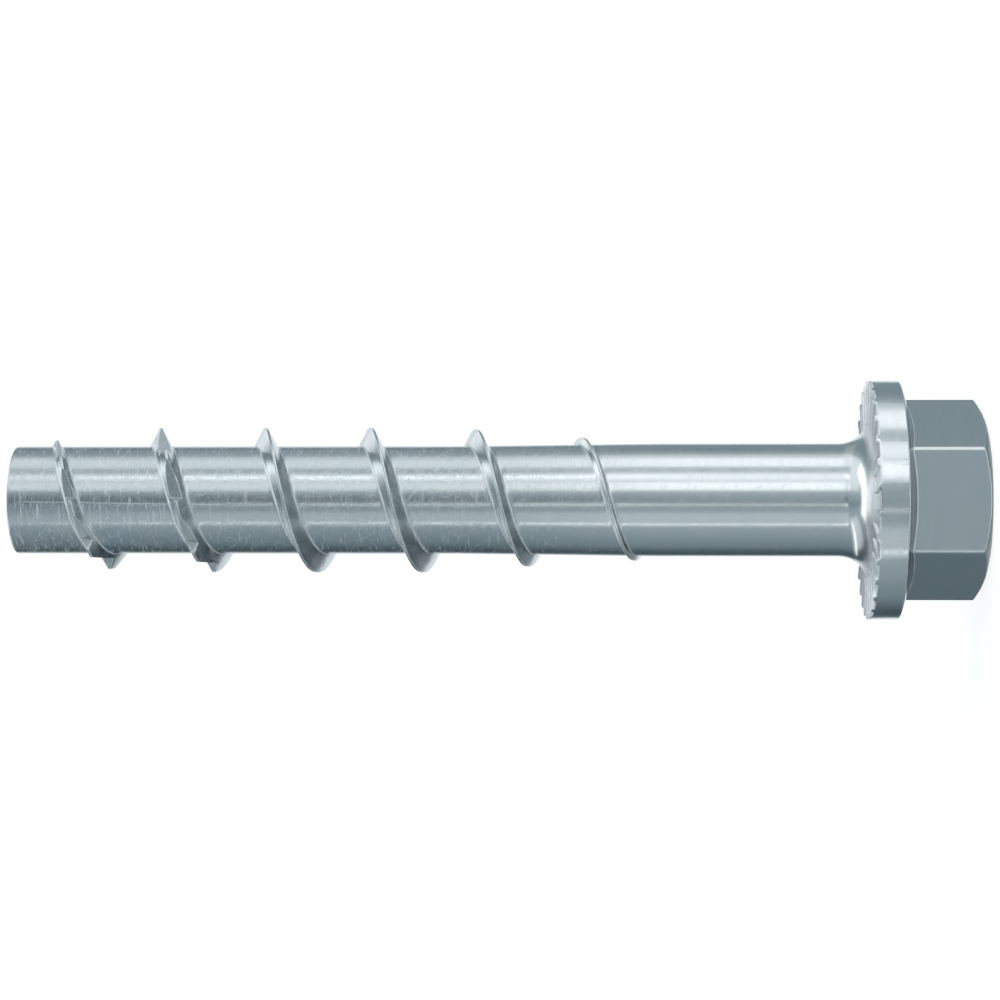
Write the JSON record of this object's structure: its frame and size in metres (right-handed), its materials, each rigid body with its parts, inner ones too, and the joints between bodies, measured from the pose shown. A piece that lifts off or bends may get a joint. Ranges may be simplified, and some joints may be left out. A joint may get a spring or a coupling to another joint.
{
  "type": "concrete screw",
  "caption": "Zinc-plated concrete screw with hex flange head, ribbed bearing side, plain shank and a coarse right-hand flight with saw teeth near the flat tip.",
  "frame": {"origin": "centre of the hex head's flat end, on the floor that the screw stands on", "axes": "+Z along the screw's axis from the head to the tip; +X through a corner of the hexagon"},
  "size_m": [0.0206, 0.0206, 0.0834],
  "materials": {
    "zinc_plate": "bright blue-white zinc plating, satin, with fine scratches"
  },
  "bodies": {
    "root": {"concrete_screw": "zinc_plate"}
  },
  "joints": []
}
